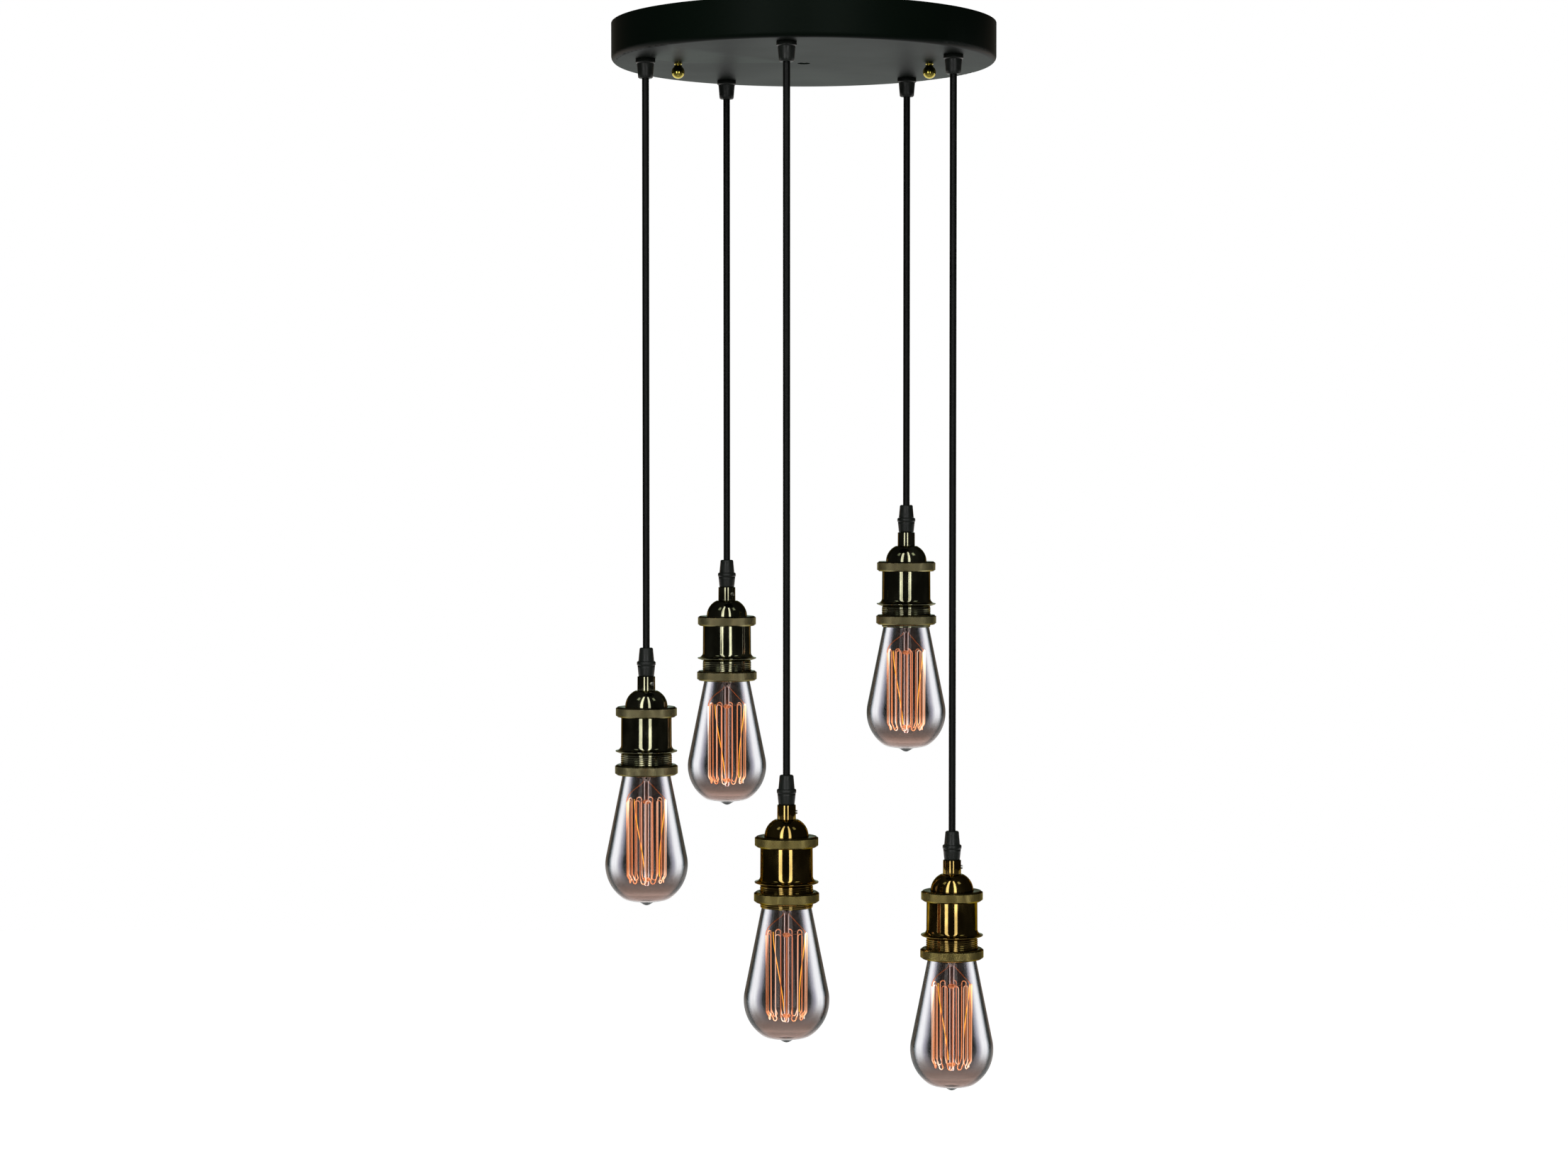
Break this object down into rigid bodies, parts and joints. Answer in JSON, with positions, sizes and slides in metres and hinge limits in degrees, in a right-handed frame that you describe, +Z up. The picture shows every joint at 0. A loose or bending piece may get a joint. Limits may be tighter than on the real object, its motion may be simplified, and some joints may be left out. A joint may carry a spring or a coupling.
{
  "type": "cluster pendant light",
  "caption": "Round ceiling canopy from which flexes of different lengths hang, each with a turned metal lamp holder and a squirrel-cage filament bulb.",
  "frame": {"origin": "on the ceiling plane, at the middle of the crossbar's slot pattern, on the canopy's axis", "axes": "+Z up through the ceiling along the canopy's axis, +X along the crossbar to the right, -Y to the front as pictured"},
  "size_m": [0.3044, 0.3064, 0.8256],
  "materials": {
    "black_satin_paint": "black satin paint",
    "zinc_plate": "zinc plated",
    "polished_brass": "polished",
    "green_screw": "green",
    "black_plastic": "satin moulded",
    "white_plastic": "moulded",
    "black_cable": "smooth black sheath",
    "antique_brass": "antique, dark, fine turned",
    "antique_brass_knurl": "antique, knurled",
    "white_ceramic": "glazed ceramic",
    "smoked_glass": "clear, lightly smoked",
    "bulb_metal": "bright"
  },
  "bodies": {
    "canopy": {"canopy_pan": "black_satin_paint", "crossbar": "zinc_plate", "crossbar_studs": "zinc_plate", "cap_nuts": "polished_brass", "earth_screw": "green_screw", "canopy_grips": "black_plastic", "grip_locknuts": "black_plastic", "terminal_block": "white_plastic", "inner_leads": "black_cable"},
    "bend_front": {"flex_bend_front": "black_cable"},
    "flex_front": {"flex_front": "black_cable"},
    "holder_front": {"holder_grip_front": "black_plastic", "holder_cap_front": "antique_brass", "upper_ring_front": "antique_brass_knurl", "barrel_front": "antique_brass", "socket_core_front": "white_ceramic"},
    "shade_ring_front": {"lower_ring_front": "antique_brass_knurl"},
    "bulb_front": {"bulb_glass_front": "smoked_glass", "bulb_mount_front": "bulb_metal"},
    "bend_right": {"flex_bend_right": "black_cable"},
    "flex_right": {"flex_right": "black_cable"},
    "holder_right": {"holder_grip_right": "black_plastic", "holder_cap_right": "antique_brass", "upper_ring_right": "antique_brass_knurl", "barrel_right": "antique_brass", "socket_core_right": "white_ceramic"},
    "shade_ring_right": {"lower_ring_right": "antique_brass_knurl"},
    "bulb_right": {"bulb_glass_right": "smoked_glass", "bulb_mount_right": "bulb_metal"},
    "bend_back_right": {"flex_bend_back_right": "black_cable"},
    "flex_back_right": {"flex_back_right": "black_cable"},
    "holder_back_right": {"holder_grip_back_right": "black_plastic", "holder_cap_back_right": "antique_brass", "upper_ring_back_right": "antique_brass_knurl", "barrel_back_right": "antique_brass", "socket_core_back_right": "white_ceramic"},
    "shade_ring_back_right": {"lower_ring_back_right": "antique_brass_knurl"},
    "bulb_back_right": {"bulb_glass_back_right": "smoked_glass", "bulb_mount_back_right": "bulb_metal"},
    "bend_back_left": {"flex_bend_back_left": "black_cable"},
    "flex_back_left": {"flex_back_left": "black_cable"},
    "holder_back_left": {"holder_grip_back_left": "black_plastic", "holder_cap_back_left": "antique_brass", "upper_ring_back_left": "antique_brass_knurl", "barrel_back_left": "antique_brass", "socket_core_back_left": "white_ceramic"},
    "shade_ring_back_left": {"lower_ring_back_left": "antique_brass_knurl"},
    "bulb_back_left": {"bulb_glass_back_left": "smoked_glass", "bulb_mount_back_left": "bulb_metal"},
    "bend_left": {"flex_bend_left": "black_cable"},
    "flex_left": {"flex_left": "black_cable"},
    "holder_left": {"holder_grip_left": "black_plastic", "holder_cap_left": "antique_brass", "upper_ring_left": "antique_brass_knurl", "barrel_left": "antique_brass", "socket_core_left": "white_ceramic"},
    "shade_ring_left": {"lower_ring_left": "antique_brass_knurl"},
    "bulb_left": {"bulb_glass_left": "smoked_glass", "bulb_mount_left": "bulb_metal"}
  },
  "joints": [
    {"name": "swing_fore_aft_front", "type": "hinge", "parent": "canopy", "child": "bend_front", "pos_m": [-0.0135, -0.12427, -0.0448], "axis": [1, 0, 0], "range_deg": [-8, 8]},
    {"name": "swing_sideways_front", "type": "hinge", "parent": "bend_front", "child": "flex_front", "pos_m": [-0.0135, -0.12427, -0.0448], "axis": [0, 1, 0], "range_deg": [-8, 8]},
    {"name": "twist_front", "type": "hinge", "parent": "flex_front", "child": "holder_front", "pos_m": [-0.0135, -0.12427, -0.5971], "axis": [0, 0, 1], "range_deg": [-180, 180]},
    {"name": "shade_ring_travel_front", "type": "slide", "parent": "holder_front", "child": "shade_ring_front", "axis": [0, 0, 1], "range_m": [-0.0078, 0.0047]},
    {"name": "bulb_release_front", "type": "slide", "parent": "holder_front", "child": "bulb_front", "axis": [0, 0, -1], "range_m": [0, 0.03]},
    {"name": "swing_fore_aft_right", "type": "hinge", "parent": "canopy", "child": "bend_right", "pos_m": [0.11402, -0.05124, -0.0448], "axis": [1, 0, 0], "range_deg": [-8, 8]},
    {"name": "swing_sideways_right", "type": "hinge", "parent": "bend_right", "child": "flex_right", "pos_m": [0.11402, -0.05124, -0.0448], "axis": [0, 1, 0], "range_deg": [-8, 8]},
    {"name": "twist_right", "type": "hinge", "parent": "flex_right", "child": "holder_right", "pos_m": [0.11402, -0.05124, -0.6471], "axis": [0, 0, 1], "range_deg": [-180, 180]},
    {"name": "shade_ring_travel_right", "type": "slide", "parent": "holder_right", "child": "shade_ring_right", "axis": [0, 0, 1], "range_m": [-0.0047, 0.0078]},
    {"name": "bulb_release_right", "type": "slide", "parent": "holder_right", "child": "bulb_right", "axis": [0, 0, -1], "range_m": [0, 0.03]},
    {"name": "swing_fore_aft_back_right", "type": "hinge", "parent": "canopy", "child": "bend_back_right", "pos_m": [0.08396, 0.0926, -0.0448], "axis": [1, 0, 0], "range_deg": [-8, 8]},
    {"name": "swing_sideways_back_right", "type": "hinge", "parent": "bend_back_right", "child": "flex_back_right", "pos_m": [0.08396, 0.0926, -0.0448], "axis": [0, 1, 0], "range_deg": [-8, 8]},
    {"name": "twist_back_right", "type": "hinge", "parent": "flex_back_right", "child": "holder_back_right", "pos_m": [0.08396, 0.0926, -0.3971], "axis": [0, 0, 1], "range_deg": [-180, 180]},
    {"name": "shade_ring_travel_back_right", "type": "slide", "parent": "holder_back_right", "child": "shade_ring_back_right", "axis": [0, 0, 1], "range_m": [-0.006, 0.0065]},
    {"name": "bulb_release_back_right", "type": "slide", "parent": "holder_back_right", "child": "bulb_back_right", "axis": [0, 0, -1], "range_m": [0, 0.03]},
    {"name": "swing_fore_aft_back_left", "type": "hinge", "parent": "canopy", "child": "bend_back_left", "pos_m": [-0.06212, 0.10847, -0.0448], "axis": [1, 0, 0], "range_deg": [-8, 8]},
    {"name": "swing_sideways_back_left", "type": "hinge", "parent": "bend_back_left", "child": "flex_back_left", "pos_m": [-0.06212, 0.10847, -0.0448], "axis": [0, 1, 0], "range_deg": [-8, 8]},
    {"name": "twist_back_left", "type": "hinge", "parent": "flex_back_left", "child": "holder_back_left", "pos_m": [-0.06212, 0.10847, -0.4421], "axis": [0, 0, 1], "range_deg": [-180, 180]},
    {"name": "shade_ring_travel_back_left", "type": "slide", "parent": "holder_back_left", "child": "shade_ring_back_left", "axis": [0, 0, 1], "range_m": [-0.0045, 0.008]},
    {"name": "bulb_release_back_left", "type": "slide", "parent": "holder_back_left", "child": "bulb_back_left", "axis": [0, 0, -1], "range_m": [0, 0.03]},
    {"name": "swing_fore_aft_left", "type": "hinge", "parent": "canopy", "child": "bend_left", "pos_m": [-0.12236, -0.02556, -0.0448], "axis": [1, 0, 0], "range_deg": [-8, 8]},
    {"name": "swing_sideways_left", "type": "hinge", "parent": "bend_left", "child": "flex_left", "pos_m": [-0.12236, -0.02556, -0.0448], "axis": [0, 1, 0], "range_deg": [-8, 8]},
    {"name": "twist_left", "type": "hinge", "parent": "flex_left", "child": "holder_left", "pos_m": [-0.12236, -0.02556, -0.5071], "axis": [0, 0, 1], "range_deg": [-180, 180]},
    {"name": "shade_ring_travel_left", "type": "slide", "parent": "holder_left", "child": "shade_ring_left", "axis": [0, 0, 1], "range_m": [-0.0043, 0.0082]},
    {"name": "bulb_release_left", "type": "slide", "parent": "holder_left", "child": "bulb_left", "axis": [0, 0, -1], "range_m": [0, 0.03]}
  ]
}
